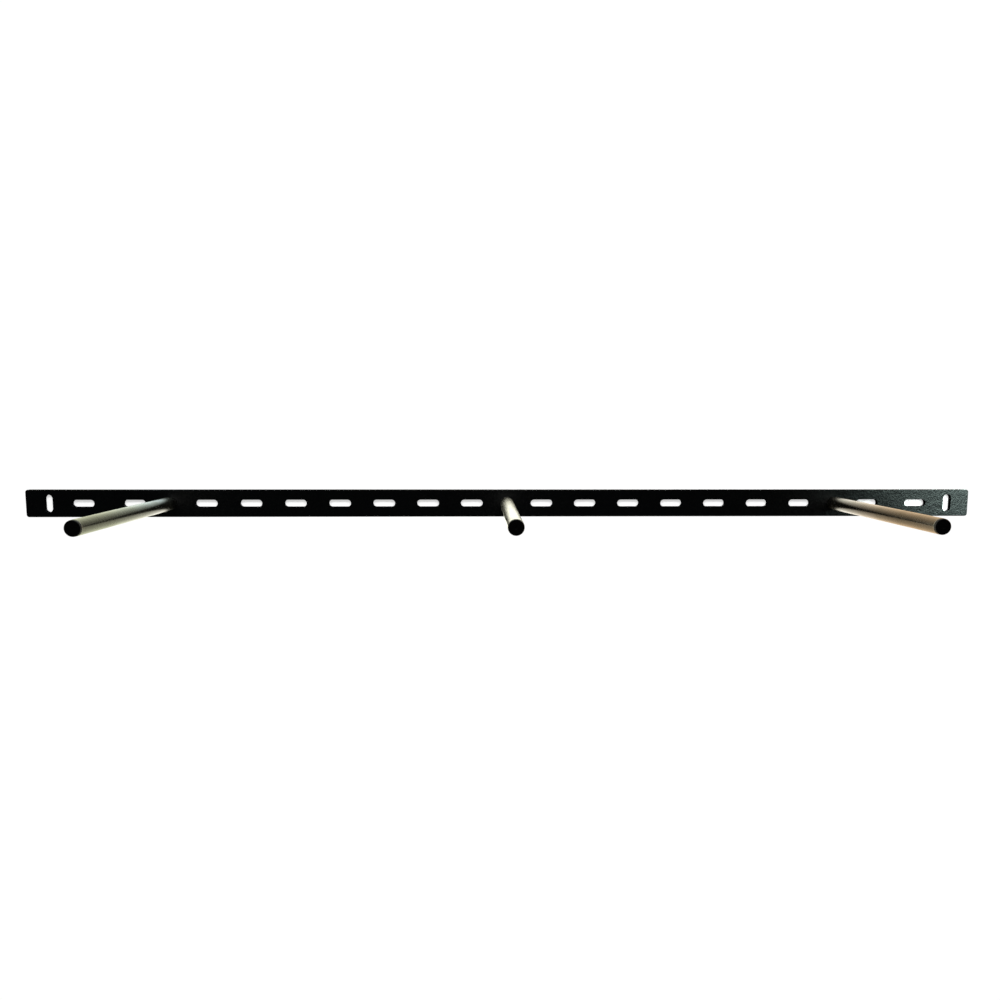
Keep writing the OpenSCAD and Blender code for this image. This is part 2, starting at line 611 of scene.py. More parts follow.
class Layers(Sketch):
    """A material under construction: one Principled surface fed by procedural masks."""

    def __init__(self, name: str) -> None:
        """Starts the material.

        Args:
            name: the material's name.
        """
        self.material = bare_material(name)
        super().__init__(self.material.node_tree)
        self.shader = self.node("BsdfPrincipled")
        self.node("OutputMaterial", {"Surface": self.shader.outputs[0]})
        self.place = self.node("TexCoord").outputs["Object"]

    def effect(self, tree: bpy.types.NodeTree, **inputs: Any) -> Socket:
        """Places a shared effect, at the object coordinates."""
        return self.node("Group", {"Vector": self.place, **inputs}, node_tree=tree).outputs[0]

    def wear(self, size: float, amount: float) -> Socket:
        """Wear on the piece's proud edges."""
        edge = self.node("Attribute", attribute_name=EDGE_MARK).outputs["Fac"]
        return self.effect(edge_wear(), Edge=edge, Size=size, Amount=amount)

    def dust(self, size: float, amount: float) -> Socket:
        """Lays dust on what faces up.

        Args:
            size: size of its grain.
            amount: how much there is.

        Returns:
            The mask.
        """
        normal = self.node("NewGeometry").outputs["Normal"]
        up = self.node("SeparateXYZ", {0: normal}).outputs["Z"]
        return self.effect(dust(), Up=up, Size=size, Amount=amount)

    def close(self, base: Any, rough: Any, height: Any, depth: float) -> bpy.types.Material:
        """Feeds the shader.

        Args:
            base: its base colour.
            rough: its roughness.
            height: relief from 0 to 1.
            depth: what a relief of 1 stands for.

        Returns:
            The finished material.
        """
        bump = self.node("Bump", {"Height": height, "Distance": depth, "Strength": 1.0})
        inputs = {"Base Color": base, "Roughness": rough, "Normal": bump.outputs[0]}
        for name, value in inputs.items():
            self.feed(self.shader.inputs[name], value)
        return self.material


@dataclass(frozen=True)
class Finish:
    """What every finish has in common.

    Attributes:
        slot: the record's material slot for pieces of this finish. Not used.
        roughness: roughness where the surface is clean.
        metallic: 1 for bare metal and 0 for what isn't.
    """

    name: str
    slot: str
    colour: Colour
    roughness: float
    metallic: float = 0.0

    @cache
    def material(self) -> bpy.types.Material:
        """Builds the material, the first time that it is asked for.

        Returns:
            The material.
        """
        layers = Layers(self.name)
        layers.material.diffuse_color = self.colour
        layers.shader.inputs["Metallic"].default_value = self.metallic
        return self.paint(layers)

    def rough(self, layers: Layers, mask: Any, over: Pair, less: float, more: float) -> Socket:
        """Roughness that goes from less below its clean value to more above it.

        Args:
            layers: the material under construction.
            mask: the mask that it follows.
            over: the stretch of the mask over which it changes.
            less: how far below the clean value it starts.
            more: how far above the clean value it ends.

        Returns:
            The roughness.
        """
        return layers.remap(mask, *over, self.roughness - less, self.roughness + more)

    def paint(self, layers: Layers) -> bpy.types.Material:
        """Lays the masks of the finish, and closes the material."""
        raise NotImplementedError


@dataclass(frozen=True)
class PowderCoat(Finish):
    """Black powder coat with a fine even texture, a little rubbed on its edges."""

    name: str = "powder_coat_black"
    slot: str = "powder_coat"
    colour: Colour = (0.0040, 0.0048, 0.0058, 1.0)
    roughness: float = 0.37
    worn: Colour = (0.055, 0.056, 0.058, 1.0)
    dusty: Colour = (0.16, 0.155, 0.145, 1.0)
    grain_size: float = 1.4 * MM
    grain_depth: float = 0.55 * MM

    def paint(self, layers: Layers) -> bpy.types.Material:
        """Grain that is lighter on its crests, uneven gloss, rubbed edges and dust.

        Args:
            layers: the material under construction.

        Returns:
            The finished material.
        """
        relief = layers.effect(grain(), Size=self.grain_size, Coarse=0.8)
        uneven = layers.effect(patches(), Size=40 * MM, Contrast=1.6)
        dusted = layers.dust(size=3 * MM, amount=0.12)
        crests = layers.remap(relief, 0.6, 1.2)
        base = layers.blend(crests, self.colour, shade(self.colour, 1.5))
        base = layers.blend(layers.wear(size=3 * MM, amount=0.5), base, self.worn)
        base = layers.blend(dusted, base, self.dusty)
        rough = self.rough(layers, uneven, (0.0, 1.0), 0.05, 0.07)
        rough = layers.math("MULTIPLY_ADD", dusted, 0.4, rough)
        return layers.close(base, rough, relief, self.grain_depth)


@dataclass(frozen=True)
class SatinTube(Finish):
    """Bright steel tube, ground and plated to a satin that still mirrors its surroundings."""

    name: str = "satin_plated_steel"
    slot: str = "satin_metal"
    colour: Colour = (0.36, 0.35, 0.31, 1.0)
    roughness: float = 0.21
    metallic: float = 1.0
    tarnish: Colour = (0.28, 0.27, 0.21, 1.0)
    mark_depth: float = 0.004 * MM

    def paint(self, layers: Layers) -> bpy.types.Material:
        """Fine streaks round the tube, smudges that dull it, and bright rubbed edges.

        Args:
            layers: the material under construction.

        Returns:
            The finished material.
        """
        marks = layers.effect(streaks(), Size=6 * MM, Stretch=30.0)
        smudges = layers.effect(patches(), Size=18 * MM, Contrast=2.2)
        dulled = layers.remap(smudges, 0.3, 1.0, 0.0, 0.7)
        base = layers.blend(dulled, self.colour, self.tarnish)
        bright = shade(self.colour, 1.25)
        base = layers.blend(layers.wear(size=2 * MM, amount=0.6), base, bright)
        rough = self.rough(layers, marks, (0.3, 0.7), 0.03, 0.05)
        rough = layers.math("MULTIPLY_ADD", smudges, 0.06, rough)
        return layers.close(base, rough, marks, self.mark_depth)


@dataclass(frozen=True)
class MouldedPlastic(Finish):
    """Black moulded plastic with a fine spark-eroded grain."""

    name: str = "moulded_plastic_black"
    slot: str = "black_plastic"
    colour: Colour = (0.0042, 0.0042, 0.0046, 1.0)
    roughness: float = 0.42
    scuffed: Colour = (0.07, 0.07, 0.072, 1.0)
    grain_depth: float = 0.012 * MM

    def paint(self, layers: Layers) -> bpy.types.Material:
        """Fine grain, scuffed edges and a little dust.

        Args:
            layers: the material under construction.

        Returns:
            The finished material.
        """
        relief = layers.effect(grain(), Size=0.25 * MM, Coarse=0.2)
        wear = layers.wear(size=1.2 * MM, amount=0.35)
        dusted = layers.times(layers.dust(size=2 * MM, amount=0.2), 0.4)
        base = layers.blend(wear, self.colour, self.scuffed)
        base = layers.blend(dusted, base, self.scuffed)
        rough = self.rough(layers, relief, (0.3, 0.9), 0.06, 0.06)
        rough = layers.math("MULTIPLY_ADD", wear, 0.2, rough)
        return layers.close(base, rough, relief, self.grain_depth)


@dataclass(frozen=True)
class ZincPlate(Finish):
    """Zinc-plated steel, pale and slightly cloudy."""

    name: str = "zinc_plated_steel"
    slot: str = "zinc_steel"
    colour: Colour = (0.60, 0.61, 0.62, 1.0)
    roughness: float = 0.34
    metallic: float = 1.0
    yellowed: Colour = (0.60, 0.57, 0.48, 1.0)
    rubbed: Colour = (0.72, 0.72, 0.72, 1.0)
    grain_depth: float = 0.006 * MM

    def paint(self, layers: Layers) -> bpy.types.Material:
        """Yellowed clouds, fine grain and rubbed edges.

        Args:
            layers: the material under construction.

        Returns:
            The finished material.
        """
        clouds = layers.effect(patches(), Size=3 * MM, Contrast=2.0)
        relief = layers.effect(grain(), Size=0.2 * MM, Coarse=0.4)
        base = layers.blend(layers.times(clouds, 0.5), self.colour, self.yellowed)
        base = layers.blend(layers.wear(size=1 * MM, amount=0.5), base, self.rubbed)
        rough = self.rough(layers, clouds, (0.0, 1.0), 0.08, 0.1)
        return layers.close(base, rough, relief, self.grain_depth)


@dataclass(frozen=True)
class TurnedSteel(Finish):
    """Bare steel fresh from the lathe, with fine tool marks round its axis."""

    name: str = "turned_steel"
    slot: str = "turned_steel"
    colour: Colour = (0.50, 0.50, 0.51, 1.0)
    roughness: float = 0.28
    metallic: float = 1.0
    oiled: Colour = (0.34, 0.32, 0.28, 1.0)
    mark_depth: float = 0.01 * MM

    def paint(self, layers: Layers) -> bpy.types.Material:
        """Tool marks, and patches of oil.

        Args:
            layers: the material under construction.

        Returns:
            The finished material.
        """
        marks = layers.effect(streaks(), Size=4 * MM, Stretch=25.0)
        oil = layers.effect(patches(), Size=5 * MM, Contrast=2.0)
        base = layers.blend(layers.times(oil, 0.5), self.colour, self.oiled)
        rough = self.rough(layers, marks, (0.3, 0.7), 0.06, 0.08)
        return layers.close(base, rough, marks, self.mark_depth)


# The rack -----------------------------------------------------------------------------------


def hand_over(piece: bpy.types.Object, node: str, finish: Finish) -> None:
    """Dresses a piece and puts it in the place of its CAD node.

    Args:
        piece: the new piece.
        node: the CAD node that it stands for.
        finish: its finish.
    """
    piece.data.materials.append(finish.material())
    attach(piece, BODY)
    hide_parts(node)
    log.info("%s: %d faces, %s", piece.name, len(piece.data.polygons), finish.name)


@dataclass
class Rail:
    """The slotted flat bar.

    Its faces are divided into cells, one round each hole. A cell is a set of closed loops
    that all have the form corner centre + radius * (cos a, sin a), from the cell's own
    outline to the outline of the hole, so that faces, mouths and walls are one grid.

    Attributes:
        record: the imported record.
        corner: radius of the bar's corners, seen from the front.
        soften: radius of the bar's long edges and of the slots' mouths.
        flare: how far a section starts from such an edge.
        screw_radius: radius of a screw hole.
        sink: radius of its countersink, at the back face.
    """

    record: dict[str, Any]
    corner: float = 3.0 * MM
    soften: float = 0.4 * MM
    flare: float = 1.6 * MM
    screw_radius: float = 3.3 * MM
    sink: float = 6.3 * MM

    def __post_init__(self) -> None:
        """Reads the bar from the frame, and the slots from the record's mounts.

        A row of holes is a hole's middle along X, half the straight run of its outline along
        X and along Z, and the radius of its ends. The screw holes stand behind the pegs.
        """
        low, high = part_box("rail")
        self.thickness = high.y - low.y
        self.size = np.array([high.x - low.x, high.z - low.z]) / 2
        rows = []
        for mount in self.record["mounts"]:
            dims = mount["dims"]
            if "slot_length_mm" not in dims:
                continue
            radius = dims["hole_r_mm"] * MM
            run = dims["slot_length_mm"] * MM / 2 - radius
            if mount["kind"] == "bolt_pattern":
                reach = dims["spacing_x_mm"] * MM / 2
                rows += [(-reach, run, 0.0, radius, 0), (reach, run, 0.0, radius, 0)]
            else:
                rows.append((mount["pos_m"][0], 0.0, run, radius, 0))
        for side in Side:
            low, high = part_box(f"peg_tube_{side.value}")
            rows.append(((low.x + high.x) / 2, 0.0, 0.0, self.screw_radius, 1))
        table = np.array(sorted(rows))
        self.holes, self.screws = table[:, :4], table[:, 4] > 0

    @staticmethod
    def loops(centres: Array, radii: Array) -> Array:
        """Closed loops with four rounded corners: centre + radius * (cos a, sin a).

        Args:
            centres: (..., 4, 2) centres of the corners, in X and Z.
            radii: radius of each corner, in a shape that broadcasts to (..., 4).

        Returns:
            (..., points, 2), with the first point repeated at the end.
        """
        a = (np.arange(4)[:, None] + QUARTER) * np.pi / 2
        radii = np.broadcast_to(radii, centres.shape[:-1])
        points = centres[..., None, :] + radii[..., None, None] * ring(a)
        points = points.reshape(*centres.shape[:-2], -1, 2)
        return np.concatenate([points, points[..., :1, :]], axis=-2)

    @staticmethod
    def stand(flat: Array, y: Array | float) -> Array:
        """Puts flat (x, z) points at the given y."""
        y = np.broadcast_to(y, flat.shape[:-1])
        return np.stack([flat[..., 0], y, flat[..., 1]], axis=-1)

    def side(self, across: float, flare: float, outward: int) -> list[Run]:
        """The section of a side of the bar, from one rounded long edge to the other.

        Args:
            across: where the side lies.
            flare: from it to a point on the faces that it meets.
            outward: the side of the section that faces out, as for section().

        Returns:
            The runs, without those on the faces.
        """
        corners = [
            Corner(across + flare, -self.thickness),
            Corner(across, -self.thickness, self.soften),
            Corner(across, 0.0, self.soften),
            Corner(across + flare, 0.0),
        ]
        return section(corners, closed=False, outward=outward)[1:-1]

    def build(self) -> bpy.types.Object:
        """Builds the bar.

        Returns:
            The new piece.
        """
        surface = Surface("slotted_bar")
        self._rim(surface, self._cells(surface))
        return surface.piece()

    def _cells(self, surface: Surface) -> Array:
        """Adds the two faces, and the walls of every hole.

        Args:
            surface: the surface that gets the patches.

        Returns:
            X of the borders between the cells.
        """
        middle, run_x, run_z, radius = self.holes.T
        zero = np.zeros_like(middle)
        reach = run_x + radius
        borders = (middle[1:] - reach[1:] + middle[:-1] + reach[:-1]) / 2
        inset = self.size - self.soften
        low_x = np.concatenate([[-inset[0]], borders])
        high_x = np.concatenate([borders, [inset[0]]])
        half = np.stack([(high_x - low_x) / 2, zero + inset[1]], axis=-1)
        centre = np.stack([(high_x + low_x) / 2, zero], axis=-1)
        turned = np.zeros((len(middle), 4))
        turned[-1, [0, 3]] = turned[0, [1, 2]] = self.corner - self.soften
        corners = centre[:, None] + QUARTERS * (half[:, None] - turned[..., None])
        outline = self.loops(corners, turned)

        origin = np.stack([middle, zero], axis=-1)
        corners = origin[:, None] + QUARTERS * np.stack([run_x, run_z], axis=-1)[:, None]
        unit = self.loops(np.zeros((4, 2)), np.ones(4))

        def opened(which: Array, grow: Array | float) -> Array:
            """Outlines of the chosen holes, opened up by grow."""
            return self.loops(corners[which], radius[which, None] + grow)

        slots, depth = ~self.screws, self.sink - self.screw_radius
        faces = [
            (slots, -self.thickness, self.soften, -1.0),
            (slots, 0.0, self.soften, 1.0),
            (self.screws, -self.thickness, 0.0, -1.0),
            (self.screws, 0.0, depth, 1.0),
        ]
        for which, y, grow, facing in faces:
            flat = np.stack([outline[which], opened(which, grow)], axis=1)
            surface.add(self.stand(flat, y), np.array([0.0, facing, 0.0]))

        bore = [Corner(0.0, -self.thickness), Corner(0.0, -depth), Corner(depth, 0.0)]
        walls = [(slots, run) for run in self.side(0.0, self.flare, -1)]
        walls += [(self.screws, run) for run in section(bore, closed=False, outward=-1)]
        for which, run in walls:
            flat = np.stack([opened(which, grow) for grow in run.points[:, 0]], axis=1)
            sideways = run.normals[:, :1, None] * unit
            normals = self.stand(sideways, run.normals[:, 1:])
            surface.add(self.stand(flat, run.points[:, 1:]), normals, run.edge[:, None])
        return borders

    def _rim(self, surface: Surface, borders: Array) -> None:
        """Adds the bar's outside, a section carried round its outline.

        The outline's points are base + distance * direction: on a corner the base is the
        corner's centre, and on a long side it lies straight in from a border between cells.

        Args:
            surface: the surface that gets the patches.
            borders: X of the borders between the cells, where the outline has points too.
        """
        bases, ways = [], []
        for quarter, centre in enumerate(QUARTERS * (self.size - self.corner)):
            a = (quarter + QUARTER) * np.pi / 2
            bases.append(np.broadcast_to(centre, (len(a), 2)))
            ways.append(ring(a))
            if quarter % 2 == 0:
                x = borders[::-1] if quarter == 0 else borders
                bases.append(np.stack([x, np.full(len(x), centre[1])], axis=-1))
                ways.append(np.tile([0.0, 1.0 - quarter], (len(x), 1)))
        base = np.concatenate([*bases, bases[0][:1]])
        way = np.concatenate([*ways, ways[0][:1]])
        for run in self.side(self.corner, -self.flare, 1):
            points = self.stand(base + run.points[:, :1, None] * way, run.points[:, 1:])
            normals = self.stand(run.normals[:, :1, None] * way, run.normals[:, 1:])
            surface.add(points, normals, run.edge[:, None])


@dataclass
class Peg:
    """One peg: its tube, cap, threaded plug and screw.

    Attributes:
        stem_gap: how far the cap's stem stays clear of the tube between its ribs.
        gate: radius of the mark that the mould leaves in the middle of the cap, and
        dip: its depth.
        lead: chamfer at the mouths of the plug.
        head_edge: width of the bevel round the flat of the screw's head.
        socket: distance from the axis to a flat of the screw's hexagon socket.
        shank: radius of the screw over its thread.
        plain: length of plain shank behind the head.
        thread_gap: gap between the screw's thread and the plug's.
    """

    side: Side
    tube_wall: float = 1.5 * MM
    cap_round: float = 1.2 * MM
    stem_gap: float = 0.6 * MM
    ribs: int = 3
    stem_wall: float = 1.6 * MM
    gate: float = 1.5 * MM
    dip: float = 0.12 * MM
    lead: float = 0.4 * MM
    head_edge: float = 0.4 * MM
    socket: float = 2.0 * MM
    socket_depth: float = 2.3 * MM
    socket_lead: float = 0.2 * MM
    shank: float = 3.0 * MM
    tip: float = 0.5 * MM
    plain: float = 1.0 * MM
    thread_gap: float = 0.05 * MM
    thread: Thread = Thread()

    def __post_init__(self) -> None:
        """Takes the tube's place from the frame."""
        low, high = self.box("peg_tube")
        self.lathe = Lathe((low.x + high.x) / 2)
        self.bore = (high.z - low.z) / 2 - self.tube_wall

    def named(self, part: str) -> str:
        """The name of one of its parts, with its side."""
        return f"{part}_{self.side.value}"

    def box(self, part: str) -> tuple[Vector, Vector]:
        """The two corners of the box of one of its CAD nodes."""
        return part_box(self.named(part))

    def turned(self, name: str, *sections: list[Corner], closed: bool = False) -> Surface:
        """Starts a piece, and turns sections round the peg's axis.

        Args:
            name: the piece's name, without its side.
            sections: the sections, whose outside is to their left where they are open.
            closed: whether each closes on itself.

        Returns:
            The surface.
        """
        surface = Surface(self.named(name))
        for corners in sections:
            self.lathe.turn(surface, section(corners, closed, outward=0 if closed else -1))
        return surface

    def wind(self, surface: Surface, radius: float, start: float, end: float) -> None:
        """Adds a thread, whose grooves are cut inwards from a cylinder.

        Args:
            surface: the surface that gets the patch.
            radius: radius of the cylinder.
            start: Y where the thread starts.
            end: Y where it ends.
        """
        y, groove = self.thread.relief(start, end, self.lathe.angles)
        points = self.lathe.place(radius - groove, y)
        surface.add(points, round_normals(points, -1))

    def tube(self) -> bpy.types.Object:
        """Builds the tube: a ring of its wall, turned, with its ends broken.

        Returns:
            The new piece.
        """
        low, high = self.box("peg_tube")
        outer = self.bore + self.tube_wall
        corners = [
            Corner(outer, high.y, 0.2 * MM),
            Corner(outer, low.y, 0.5 * MM),
            Corner(self.bore, low.y, 0.2 * MM),
            Corner(self.bore, high.y, 0.2 * MM),
        ]
        return self.turned("tube", corners, closed=True).piece()

    def cap(self) -> bpy.types.Object:
        """Builds the cap: a flange with a rounded edge, and a hollow stem with sloping ribs.

        Returns:
            The new piece.
        """
        low, high = self.box("end_cap")
        flange = (high.z - low.z) / 2
        seat = self.box("peg_tube")[0].y
        stem = self.bore - self.stem_gap
        pitch = (high.y - seat) / (self.ribs + 1)
        corners = [
            Corner(0.0, low.y + self.dip),
            Corner(self.gate, low.y + self.dip, 0.08 * MM),
            Corner(self.gate + self.dip, low.y, 0.08 * MM),
            Corner(flange, low.y, self.cap_round),
            Corner(flange, seat, 0.15 * MM),
            Corner(stem, seat, 0.1 * MM),
        ]
        for top in seat + (np.arange(self.ribs) + 0.5) * pitch:
            corners += [
                Corner(stem, top, 0.05 * MM),
                Corner(self.bore, top, 0.08 * MM),
                Corner(stem, top + 0.98 * pitch, 0.05 * MM),
            ]
        corners += [
            Corner(stem, high.y, 0.4 * MM),
            Corner(stem - self.stem_wall, high.y, 0.2 * MM),
            Corner(stem - self.stem_wall, seat, 0.3 * MM),
            Corner(0.0, seat),
        ]
        return self.turned("cap", corners, closed=True).piece()

    def plug(self) -> bpy.types.Object:
        """Builds the threaded plug: a turned ring whose bore carries the thread.

        Returns:
            The new piece.
        """
        low, high = self.box("threaded_insert")
        outer = (high.z - low.z) / 2
        root = self.shank + self.thread_gap
        corners = [
            Corner(root, high.y - self.lead),
            Corner(root + self.lead, high.y),
            Corner(outer, high.y, 0.3 * MM),
            Corner(outer, low.y, 0.5 * MM),
            Corner(root + self.lead, low.y),
            Corner(root, low.y + self.lead),
        ]
        surface = self.turned("plug", corners)
        self.wind(surface, root, low.y + self.lead, high.y - self.lead)
        return surface.piece()

    def screw(self) -> bpy.types.Object:
        """Builds the countersunk screw: a turned head and tip, a wound thread and a socket.

        Returns:
            The new piece.
        """
        low, high = self.box("peg_screw")
        head = (high.z - low.z) / 2
        flat = head - self.head_edge
        neck = high.y - (head - self.shank)
        start, end = neck - self.plain, low.y + self.tip
        top = [
            Corner(flat, high.y),
            Corner(head, high.y, 0.15 * MM),
            Corner(self.shank, neck, 0.2 * MM),
            Corner(self.shank, start),
        ]
        point = [Corner(self.shank, end), Corner(self.shank - self.tip, low.y), Corner(0.0, low.y)]
        surface = self.turned("screw", top, point)
        self.wind(surface, self.shank, start, end)
        self._socket(surface, flat, high.y)
        return surface.piece()

    def _socket(self, surface: Surface, rim: float, face: float) -> None:
        """Adds the head's flat and the hexagon socket sunk into it.

        Over one side, at an angle b from the middle of its flat, the hexagon's outline is
        flat / cos b away from the axis.

        Args:
            surface: the surface that gets the patches.
            rim: radius of the head's flat.
            face: Y of the head's flat.
        """
        across = np.linspace(-np.pi / 6, np.pi / 6, TURN_STEPS // 6 + 1)
        sides = np.arange(6)[:, None] * np.pi / 3 + np.pi / 6
        outward = np.stack([np.cos(sides), 0 * sides, np.sin(sides)], axis=-1)
        forward = np.array([0.0, 1.0, 0.0])
        floor = face - self.socket_depth

        def rows(*pairs: tuple[Array | float, float]) -> Array:
            """Places rows of points on the six sides.

            Args:
                *pairs: the radius and Y of each row.

            Returns:
                The points.
            """
            radii = np.stack([np.broadcast_to(r, across.shape) for r, _ in pairs])
            y = np.array([y for _, y in pairs])[:, None]
            return self.lathe.place(radii, y, (sides + across)[:, None, :])

        wall = self.socket / np.cos(across)
        mouth = (self.socket + self.socket_lead) / np.cos(across)
        step = face - self.socket_lead
        surface.add(rows((rim, face), (mouth, face)), forward)
        sloped = (forward - outward) / math.sqrt(2)
        surface.add(rows((mouth, face), (wall, step)), sloped[:, None])
        surface.add(rows((wall, step), (wall, floor)), -outward[:, None])
        surface.add(rows((wall, floor), (0.0, floor - self.socket_lead)), forward)


@dataclass
class Rack:
    """The whole rack, and the finishes of its pieces."""

    record: dict[str, Any]
    coat: Finish = PowderCoat()
    satin: Finish = SatinTube()
    plastic: Finish = MouldedPlastic()
    steel: Finish = TurnedSteel()
    zinc: Finish = ZincPlate()

    def build(self) -> None:
        """Builds every piece in order and puts it in the place of its CAD node."""
        hand_over(Rail(self.record).build(), "rail", self.coat)
        for peg in map(Peg, Side):
            hand_over(peg.tube(), peg.named("peg_tube"), self.satin)
            hand_over(peg.cap(), peg.named("end_cap"), self.plastic)
            hand_over(peg.plug(), peg.named("threaded_insert"), self.steel)
            hand_over(peg.screw(), peg.named("peg_screw"), self.zinc)


# The studio ---------------------------------------------------------------------------------


def stage_plane(name: str, corners: Array, material: bpy.types.Material) -> None:
    """Adds one flat stage piece.

    Args:
        name: its name.
        corners: (4, 3), its corners in order.
        material: its material.
    """
    mesh = bpy.data.meshes.new(name)
    mesh.from_pydata(corners.tolist(), [], [(0, 1, 2, 3)])
    mesh.materials.append(material)
    show(name, mesh)


@dataclass(frozen=True)
class SoftBox:
    """A rectangular soft light, unseen by the camera itself.

    Attributes:
        place: where its middle stands.
        aim: the point that it faces.
        power: its power in watts.
        only: names of the pieces that it lights, or none where it lights everything.
        spread: angle of the cone that it shines into.
    """

    name: str
    place: Triple
    aim: Triple
    size: Pair
    power: float
    colour: Triple = (1.0, 1.0, 1.0)
    only: tuple[str, ...] = ()
    spread: float = math.pi

    def build(self) -> None:
        """Adds the light."""
        data = bpy.data.lights.new(self.name, "AREA")
        data.shape = "RECTANGLE"
        data.size, data.size_y = self.size
        data.energy = self.power
        data.color = self.colour
        data.spread = self.spread
        light = show(self.name, data)
        light.location = self.place
        facing = Vector(self.aim) - Vector(self.place)
        light.rotation_euler = facing.to_track_quat("-Z", "Y").to_euler()
        light.visible_camera = False
        if self.only:
            lit = bpy.data.collections.new(f"lit_by_{self.name}")
            for name in self.only:
                lit.objects.link(bpy.data.objects[name])
            light.light_linking.receiver_collection = lit


@dataclass(frozen=True)
class Fall:
    """A smooth change over a stretch of a value, held beyond its ends.

    Attributes:
        start: where it starts, from low.
        end: where it ends, at high.
    """

    start: float
    end: float
    low: float = 1.0
    high: float = 0.0

    def over(self, sketch: Sketch, value: Any) -> Socket:
        """The change over this value."""
        return sketch.remap(value, self.start, self.end, self.low, self.high)


@dataclass
class Wall:
    """The white wall that the rack lies against, seen from the front only.

    To the camera it is plain white, and softly shaded behind the bar's slots. What it sends to
    the rack is painted light: a glow, laid out by place like the light of a room, that the
    metal shows as painted reflections. It is strong on the far side of the outer pegs and
    round the centre peg, weak on the near side of the outer ones, and nothing in a painted
    shadow strip along the bar. It lets through what comes from behind it and what starts
    right at it, so that the back of the rack can be seen and lit.

    Attributes:
        gap: how far it stands behind the bar.
        reach: how far it runs to each side and upwards.
        white: how brightly the camera sees it.
        matt: share of the light on it that it scatters, behind the bar.
        own: what it adds to that of its own.
        clear: rays shorter than this pass through it.
        outer_glow: glow on the far side of an outer peg, and on its near side.
        outer_turn: where between its two sides these are reached, from -1 to 1.
        lower_turn: how far the glow below the bar is turned to the far side.
        near: share of the glow over the distance from an outer peg.
        middle: share of the further glow over the distance from the centre peg.
        middle_glow: that further glow.
        lower_share: share of it below the bar.
        low: how much stronger it is over the height above or below the bar's axis.
        lower_end: share of all glow over the depth below the axis.
        upper_end: share of all glow over the height above the axis.
        shadow: width of the strip above and below the bar over which the painted shadow ends.
        far_tints: colours of the glow away from the left and from the right outer peg.
        near_tints: colours of the glow close to them.
        lower_tint: colour of the glow close to them, below the bar.
        middle_tint: colour of the glow round the centre peg.
    """

    gap: float = 0.2 * MM
    reach: float = 6.0
    white: float = 1.03
    matt: float = 0.8
    own: float = 0.6
    clear: float = 2.0 * MM
    outer_glow: Pair = (2.1, 0.15)
    outer_turn: Pair = (-0.9, 1.0)
    lower_turn: float = -0.35
    near: Fall = Fall(10 * MM, 100 * MM, 1.1, 0.6)
    middle: Fall = Fall(80 * MM, 240 * MM)
    middle_glow: float = 2.0
    lower_share: float = 0.9
    low: Fall = Fall(20 * MM, 120 * MM, 1.2, 1.0)
    lower_end: Fall = Fall(250 * MM, 600 * MM)
    upper_end: Fall = Fall(500 * MM, 1100 * MM)
    shadow: Pair = (7 * MM, 4 * MM)
    far_tints: tuple[Colour, Colour] = ((0.90, 0.94, 0.70, 1.0), (1.0, 0.73, 0.47, 1.0))
    near_tints: tuple[Colour, Colour] = ((0.78, 0.94, 1.0, 1.0), (1.0, 1.0, 0.92, 1.0))
    lower_tint: Colour = (1.0, 0.98, 0.91, 1.0)
    middle_tint: Colour = (1.0, 1.0, 0.87, 1.0)

    def __post_init__(self) -> None:
        """Takes the bar's half length and height, and the outer pegs' place, from the frame."""
        low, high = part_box("rail")
        self.bar_x, self.bar_z = (high.x - low.x) / 2, (high.z - low.z) / 2
        low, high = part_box("peg_tube_right")
        self.peg_x = (low.x + high.x) / 2

    def build(self, floor_z: float) -> None:
        """Adds the wall.

        Args:
            floor_z: height of the floor that it stands on.
        """
        corners = np.array([[-1, 0, -1], [1, 0, -1], [1, 0, 1], [-1, 0, 1]]) * self.reach
        corners[:, 1] = self.gap
        corners[:2, 2] = floor_z
        material = bare_material("white_wall")
        sketch = Sketch(material.node_tree)
        path = sketch.node("LightPath").outputs
        place = sketch.node("TexCoord").outputs["Object"]
        spot = sketch.node("SeparateXYZ", {0: place}).outputs
        glow = self._glow(sketch, spot["X"], spot["Z"])
        seen = self._seen(sketch, spot["X"], spot["Z"])
        behind = sketch.node("NewGeometry").outputs["Backfacing"]
        near = sketch.math("LESS_THAN", path["Ray Length"], self.clear)
        clear = sketch.node("BsdfTransparent").outputs[0]
        front = sketch.mix(path["Is Camera Ray"], glow, seen)
        shader = sketch.mix(sketch.math("MAXIMUM", behind, near), front, clear)
        sketch.node("OutputMaterial", {"Surface": shader})
        stage_plane("wall", corners, material)

    def _seen(self, sketch: Sketch, x: Socket, z: Socket) -> Socket:
        """What the camera sees: plain white, and behind the bar a matt white that takes shade.

        Args:
            sketch: the sketch of the wall's material.
            x: the place along the bar.
            z: the height above the bar's axis.

        Returns:
            The shader.
        """
        inside_x = sketch.math("LESS_THAN", sketch.math("ABSOLUTE", x), self.bar_x)
        inside_z = sketch.math("LESS_THAN", sketch.math("ABSOLUTE", z), self.bar_z)
        matt = sketch.node("BsdfDiffuse", {"Color": shade(WHITE, self.matt)})
        own = sketch.node("Emission", {"Strength": self.own})
        shaded = sketch.node("AddShader", {0: matt.outputs[0], 1: own.outputs[0]})
        plain = sketch.node("Emission", {"Strength": self.white})
        return sketch.mix(sketch.times(inside_x, inside_z), plain.outputs[0], shaded.outputs[0])

